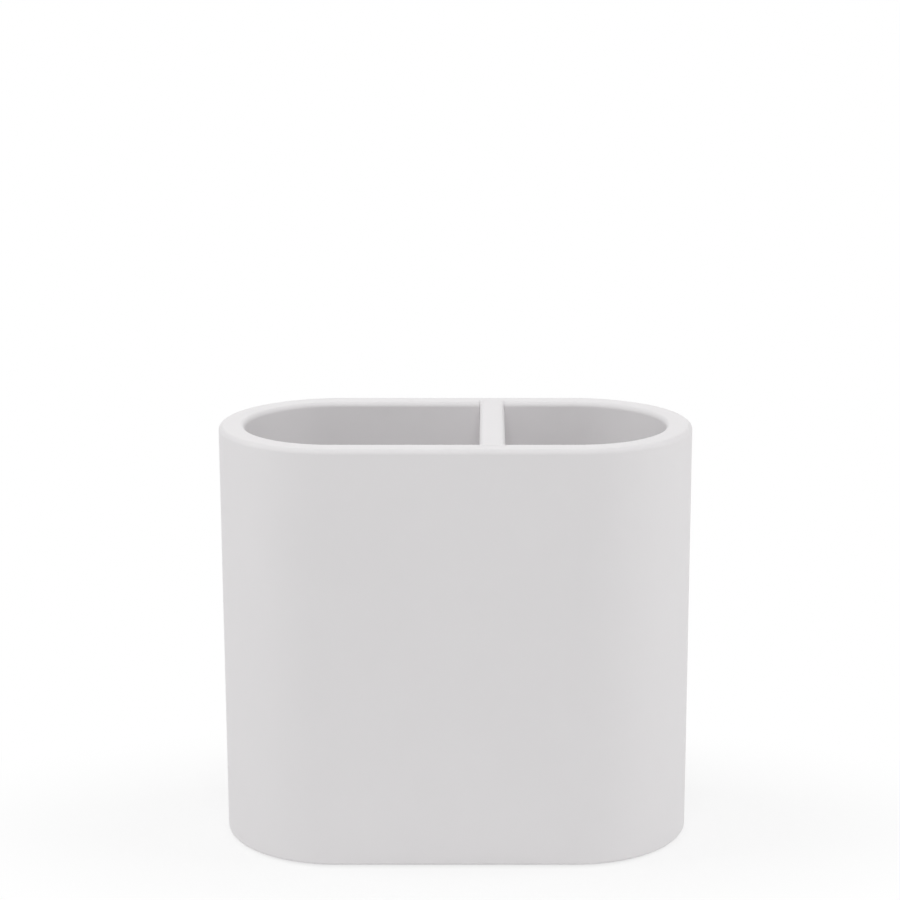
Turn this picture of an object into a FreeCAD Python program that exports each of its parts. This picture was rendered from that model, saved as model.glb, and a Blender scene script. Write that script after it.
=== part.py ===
import FreeCAD, Part
import math
import os

# A two-compartment toothbrush holder: a thick-walled cast cup with full-round ends, a slab
# divider that lifts out of grooves in the walls, and four anti-slip pads stuck into the underside.
# Millimetres, +Z up, front towards -Y. The origin is on the surface that the pads stand on,
# under the middle of the cup.

# Cup
CUP_LENGTH = 110.0
CUP_DEPTH = 54.5
CUP_HEIGHT = 99.0
WALL = 6.0
FLOOR = 6.0
RIM_ROUND = 1.2
BASE_ROUND = 0.8
FLOOR_ROUND = 3.0

# Divider, set off from the middle of the cup towards +X
DIVIDER_THICKNESS = 5.9
DIVIDER_OFFSET = 8.5
GROOVE_DEPTH = 2.0
FLOOR_GROOVE_DEPTH = 1.5
SIDE_CLEARANCE = 0.05
END_CLEARANCE = 0.1

# Anti-slip pads and the adhesive discs that hold them in their recesses
PAD_DIAMETER = 12.0
PAD_PROUD = 0.4
PAD_EDGE_ROUND = 0.3
PAD_MARGIN = 4.5
PAD_ANGLE = 50.0
RECESS_DEPTH = 1.2
RECESS_CLEARANCE = 0.2
ADHESIVE_THICKNESS = 0.2
ADHESIVE_INSET = 0.3

# How far a cutting solid runs past an open face, and how near to a level an edge lies on it
OVERRUN = 5.0
LEVEL_TOLERANCE = 0.001

# Levels, from the standing surface up
base_z = PAD_PROUD
floor_z = base_z + FLOOR
rim_z = base_z + CUP_HEIGHT
recess_z = base_z + RECESS_DEPTH
pad_top_z = recess_z - ADHESIVE_THICKNESS

# The cavity and the divider's seat in it
inner_length = CUP_LENGTH - 2 * WALL
inner_depth = CUP_DEPTH - 2 * WALL
seat_z = floor_z - FLOOR_GROOVE_DEPTH
groove_width = DIVIDER_THICKNESS + 2 * SIDE_CLEARANCE
groove_span = inner_depth + 2 * GROOVE_DEPTH
divider_span = groove_span - 2 * END_CLEARANCE

# The pads lie on rays from the centres of the round ends
pad_radius = PAD_DIAMETER / 2
recess_radius = pad_radius + RECESS_CLEARANCE
adhesive_radius = pad_radius - ADHESIVE_INSET
end_centre_x = (CUP_LENGTH - CUP_DEPTH) / 2
pad_ray = CUP_DEPTH / 2 - PAD_MARGIN - pad_radius
pad_x = end_centre_x + pad_ray * math.cos(math.radians(PAD_ANGLE))
pad_y = pad_ray * math.sin(math.radians(PAD_ANGLE))
pad_places = {
    "front_left": (-pad_x, -pad_y),
    "front_right": (pad_x, -pad_y),
    "rear_left": (-pad_x, pad_y),
    "rear_right": (pad_x, pad_y),
}


def stadium_prism(length, depth, bottom, top):
    """A prism whose plan is a rectangle with full-round ends, centred on the Z axis."""
    radius = depth / 2
    straight = length / 2 - radius
    front_left = FreeCAD.Vector(-straight, -radius, bottom)
    front_right = FreeCAD.Vector(straight, -radius, bottom)
    right_end = FreeCAD.Vector(length / 2, 0, bottom)
    rear_right = FreeCAD.Vector(straight, radius, bottom)
    rear_left = FreeCAD.Vector(-straight, radius, bottom)
    left_end = FreeCAD.Vector(-length / 2, 0, bottom)
    outline = [
        Part.LineSegment(front_left, front_right),
        Part.Arc(front_right, right_end, rear_right),
        Part.LineSegment(rear_right, rear_left),
        Part.Arc(rear_left, left_end, front_left),
    ]
    wire = Part.Wire([curve.toShape() for curve in outline])
    return Part.Face(wire).extrude(FreeCAD.Vector(0, 0, top - bottom))


def slab(width, span, bottom, top):
    """An upright box across the cup at the divider's place, its width along X and its span along Y."""
    corner = FreeCAD.Vector(DIVIDER_OFFSET - width / 2, -span / 2, bottom)
    return Part.makeBox(width, span, top - bottom, corner)


def disc(radius, place, bottom, top):
    """An upright disc at a place on the underside."""
    return Part.makeCylinder(radius, top - bottom, FreeCAD.Vector(*place, bottom))


def edges_at(shape, level):
    """The edges of a shape that lie flat at a level."""
    boxes = [(edge, edge.BoundBox) for edge in shape.Edges]
    return [edge for edge, box in boxes if max(abs(box.ZMin - level), abs(box.ZMax - level)) < LEVEL_TOLERANCE]


def long_edges_at(shape, level):
    """The edges at a level that run along Y from end to end of a shape."""
    span = shape.BoundBox.YLength
    return [edge for edge in edges_at(shape, level) if abs(edge.BoundBox.YLength - span) < LEVEL_TOLERANCE]


def ungrooved_cup():
    """The cast cup with its rounded rim, base and inner floor, before the grooves and recesses are cut."""
    cavity = stadium_prism(inner_length, inner_depth, floor_z, rim_z + OVERRUN)
    cavity = cavity.makeFillet(FLOOR_ROUND, edges_at(cavity, floor_z))
    cup = stadium_prism(CUP_LENGTH, CUP_DEPTH, base_z, rim_z).cut(cavity)
    cup = cup.makeFillet(RIM_ROUND, edges_at(cup, rim_z))
    return cup.makeFillet(BASE_ROUND, edges_at(cup, base_z))


def cup_body():
    """The cup with one groove round the divider's seat and a recess for each pad."""
    cup = ungrooved_cup().cut(slab(groove_width, groove_span, seat_z, rim_z + OVERRUN))
    for place in pad_places.values():
        cup = cup.cut(disc(recess_radius, place, base_z - OVERRUN, recess_z))
    return cup


def divider():
    """The slab, its two long top edges rounded between the walls, and its tongues shaped to the rim."""
    square = slab(DIVIDER_THICKNESS, divider_span, seat_z, rim_z)
    rounded = square.makeFillet(RIM_ROUND, long_edges_at(square, rim_z))
    tongues = square.common(ungrooved_cup())
    return rounded.fuse(tongues).removeSplitter()


def foot_pad(place):
    """A soft disc that stands proud of the underside, its lower edge rounded."""
    pad = disc(pad_radius, place, 0, pad_top_z)
    return pad.makeFillet(PAD_EDGE_ROUND, edges_at(pad, 0))


def adhesive_disc(place):
    """The thin disc that sticks a pad to the ceiling of its recess."""
    return disc(adhesive_radius, place, pad_top_z, recess_z)


def save(name, shape):
    """Writes one piece, after a look at whether it is one sound solid."""
    solid = shape.Solids[0]
    print(name, len(shape.Solids), solid.isValid(), round(solid.Volume, 3))
    solid.exportStep(os.path.join("parts", name + ".step"))


os.makedirs("parts", exist_ok=True)
save("cup_body", cup_body())
save("divider", divider())
for corner, place in pad_places.items():
    save("foot_pad_" + corner, foot_pad(place))
    save("adhesive_disc_" + corner, adhesive_disc(place))
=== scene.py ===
import math

import bmesh
import bpy
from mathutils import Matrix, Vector


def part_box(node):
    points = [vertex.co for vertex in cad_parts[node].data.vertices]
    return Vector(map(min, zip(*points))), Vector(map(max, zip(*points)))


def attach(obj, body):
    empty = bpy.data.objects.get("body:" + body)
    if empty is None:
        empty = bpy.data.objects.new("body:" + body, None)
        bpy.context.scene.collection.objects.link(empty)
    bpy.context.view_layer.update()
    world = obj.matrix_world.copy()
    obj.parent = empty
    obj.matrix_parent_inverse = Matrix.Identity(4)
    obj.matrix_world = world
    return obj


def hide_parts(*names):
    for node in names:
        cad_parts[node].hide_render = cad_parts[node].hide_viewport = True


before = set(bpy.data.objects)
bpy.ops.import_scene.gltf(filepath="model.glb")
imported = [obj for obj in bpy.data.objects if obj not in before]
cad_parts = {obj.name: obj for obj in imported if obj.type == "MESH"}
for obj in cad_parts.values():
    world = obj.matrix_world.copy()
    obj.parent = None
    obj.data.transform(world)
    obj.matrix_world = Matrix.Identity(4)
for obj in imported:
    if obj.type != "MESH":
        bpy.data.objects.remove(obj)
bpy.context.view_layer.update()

# Sizes that the frame's boxes don't give, in metres
WALL = 0.0060
FLOOR = 0.0060
RIM_ROUND = 0.0012
BASE_ROUND = 0.0008
FLOOR_ROUND = 0.0030
SIDE_CLEARANCE = 0.00005
END_CLEARANCE = 0.0001
RECESS_DEPTH = 0.0012
RECESS_CLEARANCE = 0.0002
PAD_EDGE_ROUND = 0.0003
EDGE_BREAK = 0.00003
CUTTER_OVERRUN = 0.0050
LEVEL_TOLERANCE = 0.00001
MERGE_DISTANCE = 0.000001

# How finely the meshes are divided
END_STEPS = 64
STRAIGHT_STEPS = 8
WALL_STEPS = 8
ROUND_STEPS = 8
DISC_STEPS = 72
BREAK_STEPS = 2
BREAK_ROUNDNESS = 0.5
CREASE_ANGLE = math.radians(40)

# Camera: its place in metres, its pitch in degrees, its lens in millimetres,
# and its shift to the side as a share of the picture's width
CAMERA_PLACE = (0.00665, -0.54951, 0.22683)
CAMERA_PITCH = 13.711
CAMERA_LENS = 97.0
CAMERA_SHIFT_SHARE = -0.0380

# Studio floor and backdrop: seen rays find a share of white in the floor at the foot of the cup,
# which grows over the fade until all of it is white, as the backdrop is
GROUND_HALF = 6.0
GROUND_DROP = 0.00005
GROUND_COLOUR = (0.92, 0.92, 0.92, 1.0)
GROUND_LIFT_SHARE = 0.75
GROUND_FADE = 0.045
SEEN_STRENGTH = 1.0

# Light: the world, then each lamp's place, size and power in watts, all aimed at the middle of the cup
WORLD_STRENGTH = 0.5
LAMP_AIM = (0.0, 0.0, 0.06)
LAMPS = {
    "front_lamp": ((0.0, -0.80, 0.85), (0.60, 0.60), 2.21),
    "top_lamp": ((0.0, -0.45, 0.95), (0.60, 0.60), 0.85),
    "back_lamp": ((0.0, 0.85, 0.45), (0.60, 0.60), 0.80),
    "left_lamp": ((-0.60, 0.0, 0.60), (0.40, 0.40), 1.60),
    "right_lamp": ((0.60, 0.0, 0.60), (0.40, 0.40), 1.19),
    "low_right_lamp": ((0.60, 0.0, 0.08), (0.30, 0.12), 0.23),
}

# Materials: dark and light tones, least and most roughness, and the scales of their patterns
# in cycles per metre. Each relief is a scale and a depth in metres, and lies on the one before it.
RESIN = {
    "tones": ((0.842, 0.826, 0.834, 1.0), (0.862, 0.846, 0.854, 1.0)),
    "tone_scale": 60.0,
    "roughness": (0.50, 0.62),
    "roughness_scale": 350.0,
    "reliefs": ((110.0, 0.000020), (2600.0, 0.000012)),
}
RUBBER = {
    "tones": ((0.40, 0.41, 0.42, 1.0), (0.50, 0.51, 0.52, 1.0)),
    "tone_scale": 260.0,
    "roughness": (0.62, 0.78),
    "roughness_scale": 350.0,
    "reliefs": ((3200.0, 0.000040),),
}
ADHESIVE = {
    "tones": ((0.68, 0.65, 0.56, 1.0), (0.78, 0.76, 0.68, 1.0)),
    "tone_scale": 500.0,
    "roughness": (0.30, 0.45),
    "roughness_scale": 350.0,
    "reliefs": ((1500.0, 0.000020),),
}
PATTERN_DETAIL = 3.0

# Levels and places from the frame
cup_low, cup_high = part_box("cup_body")
divider_low, divider_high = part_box("divider")
cup_half_depth = cup_high.y
end_x = cup_high.x - cup_half_depth
base_z = cup_low.z
rim_z = cup_high.z
floor_z = base_z + FLOOR
recess_z = base_z + RECESS_DEPTH
inner_half_depth = cup_half_depth - WALL
corners = [name.removeprefix("foot_pad_") for name in sorted(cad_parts) if name.startswith("foot_pad_")]


def new_object(name, mesh):
    """Links a new object for a mesh."""
    piece = bpy.data.objects.new(name, mesh)
    bpy.context.scene.collection.objects.link(piece)
    return piece


def mesh_of(bm, name):
    """Turns a bmesh into a mesh whose faces point outwards."""
    bmesh.ops.recalc_face_normals(bm, faces=bm.faces)
    mesh = bpy.data.meshes.new(name)
    bm.to_mesh(mesh)
    bm.free()
    return mesh


def turn(centre, radius, first, last):
    """Points of a profile along a quarter circle, between two angles in degrees."""
    points = []
    for step in range(ROUND_STEPS + 1):
        angle = math.radians(first + (last - first) * step / ROUND_STEPS)
        points.append((centre[0] + radius * math.cos(angle), centre[1] + radius * math.sin(angle)))
    return points


def run(start, stop, steps):
    """Points of a profile strictly between two others."""
    shares = [step / steps for step in range(1, steps)]
    return [(start[0] + (stop[0] - start[0]) * s, start[1] + (stop[1] - start[1]) * s) for s in shares]


def sweep(bm, rings):
    """Faces between rings of vertices, one after another, with a cap on each end."""
    for lower, upper in zip(rings, rings[1:]):
        for k in range(len(lower)):
            bm.faces.new((lower[k - 1], lower[k], upper[k], upper[k - 1]))
    bm.faces.new(rings[0])
    bm.faces.new(rings[-1])


def plan_ring(bm, inset, z):
    """Vertices round the cup's plan, at an inset from its outer face."""
    radius = cup_half_depth - inset
    points = []
    for side in (1, -1):
        for step in range(END_STEPS + 1):
            angle = math.radians(180 * step / END_STEPS - 90)
            points.append((side * (end_x + radius * math.cos(angle)), side * radius * math.sin(angle)))
        for step in range(1, STRAIGHT_STEPS):
            points.append((side * end_x * (1 - 2 * step / STRAIGHT_STEPS), side * radius))
    return [bm.verts.new((x, y, z)) for x, y in points]


def disc_ring(bm, centre, radius, z):
    """Vertices round an upright axis."""
    ring = []
    for step in range(DISC_STEPS):
        angle = 2 * math.pi * step / DISC_STEPS
        x = centre.x + radius * math.cos(angle)
        y = centre.y + radius * math.sin(angle)
        ring.append(bm.verts.new((x, y, z)))
    return ring


def cup_profile():
    """The wall's section as insets and levels, from the underside over the rim to the floor."""
    base = turn((BASE_ROUND, base_z + BASE_ROUND), BASE_ROUND, 270, 180)
    outer_rim = turn((RIM_ROUND, rim_z - RIM_ROUND), RIM_ROUND, 180, 90)
    inner_rim = turn((WALL - RIM_ROUND, rim_z - RIM_ROUND), RIM_ROUND, 90, 0)
    floor = turn((WALL + FLOOR_ROUND, floor_z + FLOOR_ROUND), FLOOR_ROUND, 180, 270)
    outside = run(base[-1], outer_rim[0], WALL_STEPS)
    inside = run(inner_rim[-1], floor[0], WALL_STEPS)
    return base + outside + outer_rim + inner_rim + inside + floor


def groove_cutter():
    """A block as wide and as long as the divider's groove, open at the top."""
    reach = Vector((SIDE_CLEARANCE, END_CLEARANCE, 0))
    low = divider_low - reach
    high = divider_high + reach
    bm = bmesh.new()
    levels = (low.z, rim_z + CUTTER_OVERRUN)
    places = ((low.x, low.y), (high.x, low.y), (high.x, high.y), (low.x, high.y))
    sweep(bm, [[bm.verts.new((x, y, z)) for x, y in places] for z in levels])
    return new_object("groove_cutter", mesh_of(bm, "groove_cutter"))


def recess_cutter():
    """Discs that cut the pads' recesses into the underside."""
    bm = bmesh.new()
    for corner in corners:
        low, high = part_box("foot_pad_" + corner)
        centre = (low + high) / 2
        radius = (high.x - low.x) / 2 + RECESS_CLEARANCE
        sweep(bm, [disc_ring(bm, centre, radius, z) for z in (base_z - CUTTER_OVERRUN, recess_z)])
    return new_object("recess_cutter", mesh_of(bm, "recess_cutter"))


def cut(piece, cutter):
    """Takes a cutter's volume out of a piece and deletes the cutter."""
    boolean = piece.modifiers.new("cut", "BOOLEAN")
    boolean.operation = "DIFFERENCE"
    boolean.solver = "EXACT"
    boolean.object = cutter
    evaluated = piece.evaluated_get(bpy.context.evaluated_depsgraph_get())
    mesh = bpy.data.meshes.new_from_object(evaluated)
    piece.modifiers.remove(boolean)
    piece.data = mesh
    bpy.data.objects.remove(cutter)


def break_edges(piece, top):
    """Breaks the sharp edges that start below a level, as a cast edge is never knife-sharp."""
    bm = bmesh.new()
    bm.from_mesh(piece.data)
    below = [edge for edge in bm.edges if min(vert.co.z for vert in edge.verts) < top]
    sharp = [edge for edge in below if edge.calc_face_angle(0) > CREASE_ANGLE]
    bmesh.ops.bevel(bm, geom=sharp, offset=EDGE_BREAK, segments=BREAK_STEPS, profile=BREAK_ROUNDNESS,
                    affect="EDGES", clamp_overlap=True)
    bmesh.ops.remove_doubles(bm, verts=bm.verts, dist=MERGE_DISTANCE)
    bm.to_mesh(piece.data)
    bm.free()


def smooth(piece):
    """Smooth shading that keeps flat faces flat and creases sharp."""
    piece.data.shade_smooth()
    piece.data.set_sharp_from_angle(angle=CREASE_ANGLE)
    weighted = piece.modifiers.new("weighted_normals", "WEIGHTED_NORMAL")
    weighted.keep_sharp = True


def make_cup():
    """The cup: a swept wall with rounded edges, the divider's groove and the pads' recesses."""
    bm = bmesh.new()
    sweep(bm, [plan_ring(bm, inset, z) for inset, z in cup_profile()])
    cup = new_object("cup_cast", mesh_of(bm, "cup_cast"))
    cut(cup, groove_cutter())
    cut(cup, recess_cutter())
    break_edges(cup, rim_z + LEVEL_TOLERANCE)
    smooth(cup)
    return cup


def divider_grid(rounding):
    """Places across and along the divider's top, each with its step up the rounding there."""
    steps = range(ROUND_STEPS + 1)
    across = [(divider_low.x + rounding[k][0], k) for k in steps]
    across += [(divider_high.x - rounding[k][0], k) for k in reversed(steps)]
    along = [(divider_low.y, ROUND_STEPS)]
    along += [(-inner_half_depth - rounding[k][0], k) for k in reversed(steps)]
    along += [(inner_half_depth + rounding[k][0], k) for k in steps]
    along += [(divider_high.y, ROUND_STEPS)]
    return across, along


def divider_top(bm):
    """Columns of vertices over the divider, as high as the higher of its roundings, and their faces."""
    rounding = turn((RIM_ROUND, rim_z - RIM_ROUND), RIM_ROUND, 180, 90)
    across, along = divider_grid(rounding)
    top = [[bm.verts.new((x, y, rounding[max(i, j)][1])) for y, j in along] for x, i in across]
    for i in range(len(across) - 1):
        for j in range(len(along) - 1):
            cell = [(i, j), (i + 1, j), (i + 1, j + 1), (i, j + 1)]
            mitred = [across[a][1] == along[b][1] for a, b in cell]
            faces = [(0, 1, 2, 3)]
            if mitred[0] and mitred[2]:
                faces = [(0, 1, 2), (0, 2, 3)]
            elif mitred[1] and mitred[3]:
                faces = [(1, 2, 3), (1, 3, 0)]
            verts = [top[a][b] for a, b in cell]
            for face in faces:
                bm.faces.new([verts[k] for k in face])
    return top


def make_divider():
    """The slab: its long top edges rounded, and tongues whose tops follow the rim's rounding."""
    bm = bmesh.new()
    top = divider_top(bm)
    foot = [bm.verts.new((x, y, divider_low.z)) for x in (divider_low.x, divider_high.x)
            for y in (divider_low.y, divider_high.y)]
    bm.faces.new(top[0] + [foot[1], foot[0]])
    bm.faces.new(top[-1] + [foot[3], foot[2]])
    bm.faces.new([column[0] for column in top] + [foot[2], foot[0]])
    bm.faces.new([column[-1] for column in top] + [foot[3], foot[1]])
    bm.faces.new((foot[0], foot[1], foot[3], foot[2]))
    divider = new_object("divider_slab", mesh_of(bm, "divider_slab"))
    break_edges(divider, divider_low.z + LEVEL_TOLERANCE)
    smooth(divider)
    return divider


def make_pad(corner):
    """A silicone disc with its lower edge rounded."""
    low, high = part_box("foot_pad_" + corner)
    centre = (low + high) / 2
    radius = (high.x - low.x) / 2
    edge = turn((radius - PAD_EDGE_ROUND, low.z + PAD_EDGE_ROUND), PAD_EDGE_ROUND, 270, 360)
    bm = bmesh.new()
    sweep(bm, [disc_ring(bm, centre, r, z) for r, z in edge + [(radius, high.z)]])
    pad = new_object("silicone_pad_" + corner, mesh_of(bm, "silicone_pad_" + corner))
    smooth(pad)
    return pad


def new_material(name):
    """An empty node material and its node tree."""
    material = bpy.data.materials.new(name)
    material.use_nodes = True
    material.node_tree.nodes.clear()
    return material, material.node_tree


def noise(tree, scale):
    """A noise pattern fixed to the piece, from 0 to 1."""
    place = tree.nodes.new("ShaderNodeTexCoord")
    pattern = tree.nodes.new("ShaderNodeTexNoise")
    pattern.inputs["Scale"].default_value = scale
    pattern.inputs["Detail"].default_value = PATTERN_DETAIL
    tree.links.new(place.outputs["Object"], pattern.inputs["Vector"])
    return pattern.outputs["Fac"]


def between(tree, share, low, high):
    """A value that goes from low to high with a share."""
    spread = tree.nodes.new("ShaderNodeMapRange")
    spread.inputs["To Min"].default_value = low
    spread.inputs["To Max"].default_value = high
    tree.links.new(share, spread.inputs["Value"])
    return spread.outputs["Result"]


def tone(tree, share, dark, light):
    """A colour that goes from dark to light with a share."""
    ramp = tree.nodes.new("ShaderNodeValToRGB")
    ramp.color_ramp.elements[0].color = dark
    ramp.color_ramp.elements[1].color = light
    tree.links.new(share, ramp.inputs["Fac"])
    return ramp.outputs["Color"]


def add_relief(tree, shader, scale, depth):
    """Lays a noise relief of a depth in metres on top of those that a shader has."""
    relief = tree.nodes.new("ShaderNodeBump")
    relief.inputs["Distance"].default_value = depth
    tree.links.new(noise(tree, scale), relief.inputs["Height"])
    for link in shader.inputs["Normal"].links:
        tree.links.new(link.from_socket, relief.inputs["Normal"])
    tree.links.new(relief.outputs["Normal"], shader.inputs["Normal"])


def matte(name, look):
    """A matte material with a clouded colour, an uneven sheen and its reliefs."""
    material, tree = new_material(name)
    out = tree.nodes.new("ShaderNodeOutputMaterial")
    shader = tree.nodes.new("ShaderNodeBsdfPrincipled")
    colour = tone(tree, noise(tree, look["tone_scale"]), *look["tones"])
    tree.links.new(colour, shader.inputs["Base Color"])
    sheen = between(tree, noise(tree, look["roughness_scale"]), *look["roughness"])
    tree.links.new(sheen, shader.inputs["Roughness"])
    for scale, depth in look["reliefs"]:
        add_relief(tree, shader, scale, depth)
    tree.links.new(shader.outputs[0], out.inputs["Surface"])
    return material


def seen_rays(tree):
    """1 on camera, glossy and transmission rays, and 0 on those that light the object."""
    path = tree.nodes.new("ShaderNodeLightPath")
    seen = path.outputs["Is Camera Ray"]
    for kind in ("Is Glossy Ray", "Is Transmission Ray"):
        either = tree.nodes.new("ShaderNodeMath")
        either.operation = "MAXIMUM"
        tree.links.new(seen, either.inputs[0])
        tree.links.new(path.outputs[kind], either.inputs[1])
        seen = either.outputs[0]
    return seen


def ground_distance(tree):
    """How far a place on the floor is from the cup's middle, its X drawn in to make the plan round."""
    place = tree.nodes.new("ShaderNodeTexCoord")
    rounded = tree.nodes.new("ShaderNodeVectorMath")
    rounded.operation = "MULTIPLY"
    rounded.inputs[1].default_value = (cup_half_depth / cup_high.x, 1, 1)
    distance = tree.nodes.new("ShaderNodeVectorMath")
    distance.operation = "LENGTH"
    tree.links.new(place.outputs["Object"], rounded.inputs[0])
    tree.links.new(rounded.outputs["Vector"], distance.inputs[0])
    return distance.outputs["Value"]


def ground_white(tree):
    """The share of white in the floor: what the fade gives on seen rays, and none on the others."""
    fade = tree.nodes.new("ShaderNodeMapRange")
    fade.interpolation_type = "SMOOTHSTEP"
    fade.inputs["From Min"].default_value = cup_half_depth
    fade.inputs["From Max"].default_value = cup_half_depth + GROUND_FADE
    fade.inputs["To Min"].default_value = GROUND_LIFT_SHARE
    share = tree.nodes.new("ShaderNodeMath")
    share.operation = "MULTIPLY"
    tree.links.new(ground_distance(tree), fade.inputs["Value"])
    tree.links.new(fade.outputs["Result"], share.inputs[0])
    tree.links.new(seen_rays(tree), share.inputs[1])
    return share.outputs[0]


def ground_material():
    """Matte paper that seen rays find whiter than it is lit."""
    material, tree = new_material("floor_paper")
    out = tree.nodes.new("ShaderNodeOutputMaterial")
    paper = tree.nodes.new("ShaderNodeBsdfDiffuse")
    paper.inputs["Color"].default_value = GROUND_COLOUR
    white = tree.nodes.new("ShaderNodeEmission")
    white.inputs["Strength"].default_value = SEEN_STRENGTH
    mix = tree.nodes.new("ShaderNodeMixShader")
    tree.links.new(ground_white(tree), mix.inputs[0])
    tree.links.new(paper.outputs[0], mix.inputs[1])
    tree.links.new(white.outputs[0], mix.inputs[2])
    tree.links.new(mix.outputs[0], out.inputs["Surface"])
    return material


def make_ground():
    """A wide level floor, a hair below the pads so that no two faces share a plane."""
    mesh = bpy.data.meshes.new("floor")
    h = GROUND_HALF
    mesh.from_pydata([(-h, -h, 0), (h, -h, 0), (h, h, 0), (-h, h, 0)], [], [(0, 1, 2, 3)])
    mesh.materials.append(ground_material())
    floor = new_object("floor", mesh)
    floor.location.z = -GROUND_DROP


def make_world():
    """An even sky, which seen rays find white."""
    world = bpy.data.worlds.new("studio")
    bpy.context.scene.world = world
    world.use_nodes = True
    tree = world.node_tree
    tree.nodes.clear()
    out = tree.nodes.new("ShaderNodeOutputWorld")
    sky = tree.nodes.new("ShaderNodeBackground")
    tree.links.new(between(tree, seen_rays(tree), WORLD_STRENGTH, SEEN_STRENGTH), sky.inputs["Strength"])
    tree.links.new(sky.outputs[0], out.inputs["Surface"])


def make_lamp(name, place, size, watts):
    """A soft rectangular lamp that faces the cup and isn't seen itself."""
    light = bpy.data.lights.new(name, "AREA")
    light.shape = "RECTANGLE"
    light.size, light.size_y = size
    light.energy = watts
    lamp = new_object(name, light)
    lamp.location = place
    lamp.rotation_euler = (Vector(LAMP_AIM) - Vector(place)).to_track_quat("-Z", "Y").to_euler()
    lamp.visible_camera = False


def make_camera():
    """The photograph's view, level with the frame."""
    camera = new_object("camera", bpy.data.cameras.new("camera"))
    camera.location = CAMERA_PLACE
    camera.rotation_euler = (math.radians(90 - CAMERA_PITCH), 0, 0)
    camera.data.lens = CAMERA_LENS
    camera.data.shift_x = CAMERA_SHIFT_SHARE
    bpy.context.scene.camera = camera


def dress(piece, material, body, node):
    """Gives a piece its material and its body, and hides the node that it stands for."""
    piece.data.materials.clear()
    piece.data.materials.append(material)
    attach(piece, body)
    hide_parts(node)


make_camera()
make_ground()
make_world()
for lamp_name, (lamp_place, lamp_size, lamp_watts) in LAMPS.items():
    make_lamp(lamp_name, lamp_place, lamp_size, lamp_watts)

resin = matte("matte_cast_resin", RESIN)
rubber = matte("silicone_rubber", RUBBER)
adhesive = matte("adhesive_film", ADHESIVE)
dress(make_cup(), resin, "cup", "cup_body")
dress(make_divider(), resin, "divider", "divider")
for corner_name in corners:
    dress(make_pad(corner_name), rubber, "cup", "foot_pad_" + corner_name)
    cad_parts["adhesive_disc_" + corner_name].data.materials[0] = adhesive

bpy.context.scene.view_settings.view_transform = "Standard"
